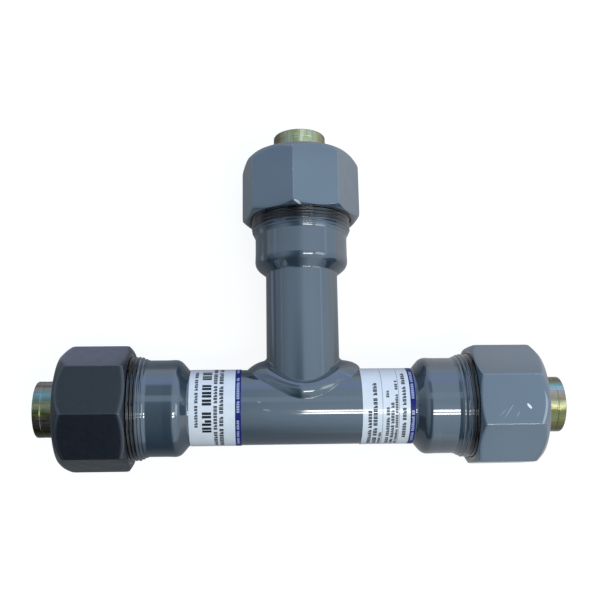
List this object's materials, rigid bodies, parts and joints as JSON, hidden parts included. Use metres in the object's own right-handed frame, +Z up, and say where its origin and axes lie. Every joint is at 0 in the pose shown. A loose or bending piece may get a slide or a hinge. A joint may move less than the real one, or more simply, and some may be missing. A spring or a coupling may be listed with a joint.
{
  "type": "compression tee",
  "caption": "Welded steel tee for plastic pipe with octagonal compression nuts, gaskets, grip rings and pipe stiffeners at its ends.",
  "frame": {"origin": "where the axis of the run crosses the axis of the branch", "axes": "+X along the run to the right in the picture, +Y along the branch, +Z up from the surface the tee lies on"},
  "size_m": [0.3158, 0.2125, 0.0746],
  "materials": {
    "enamel": "glossy blue-grey enamel",
    "zinc": "yellow zinc plate",
    "label": "white film, glossy",
    "rubber": "matte black",
    "cup_steel": "plain pressed steel",
    "grip_steel": "dark hardened steel"
  },
  "bodies": {
    "fitting": {"run_barrel": "enamel", "branch_barrel": "enamel", "branch_weld": "enamel", "label_right": "label", "label_left": "label", "stiffener_right": "zinc", "stiffener_left": "zinc", "stiffener_branch": "zinc"},
    "rings_right": {"gasket_right": "rubber", "gasket_cup_right": "cup_steel", "grip_ring_right": "grip_steel"},
    "nut_right": {"nut_right": "enamel"},
    "rings_left": {"gasket_left": "rubber", "gasket_cup_left": "cup_steel", "grip_ring_left": "grip_steel"},
    "nut_left": {"nut_left": "enamel"},
    "rings_branch": {"gasket_branch": "rubber", "gasket_cup_branch": "cup_steel", "grip_ring_branch": "grip_steel"},
    "nut_branch": {"nut_branch": "enamel"}
  },
  "joints": [
    {"name": "advance_right", "type": "slide", "parent": "fitting", "child": "rings_right", "axis": [1, 0, 0], "range_m": [-0.00636, 0.00962]},
    {"name": "turn_right", "type": "hinge", "parent": "rings_right", "child": "nut_right", "pos_m": [0.1004, 0, 0], "axis": [1, 0, 0], "range_deg": [-1071, 1620]},
    {"name": "advance_left", "type": "slide", "parent": "fitting", "child": "rings_left", "axis": [-1, 0, 0], "range_m": [-0.00636, 0.00962]},
    {"name": "turn_left", "type": "hinge", "parent": "rings_left", "child": "nut_left", "pos_m": [-0.1032, 0, 0], "axis": [-1, 0, 0], "range_deg": [-1071, 1620]},
    {"name": "advance_branch", "type": "slide", "parent": "fitting", "child": "rings_branch", "axis": [0, 1, 0], "range_m": [-0.00756, 0.00962]},
    {"name": "turn_branch", "type": "hinge", "parent": "rings_branch", "child": "nut_branch", "pos_m": [0, 0.1182, 0], "axis": [0, 1, 0], "range_deg": [-1275, 1410]}
  ],
  "couplings": [
    {"joint": "advance_right", "follows": "turn_right", "m_per_rad": 0.00033688},
    {"joint": "advance_left", "follows": "turn_left", "m_per_rad": 0.00033688},
    {"joint": "advance_branch", "follows": "turn_branch", "m_per_rad": 0.00033688}
  ]
}
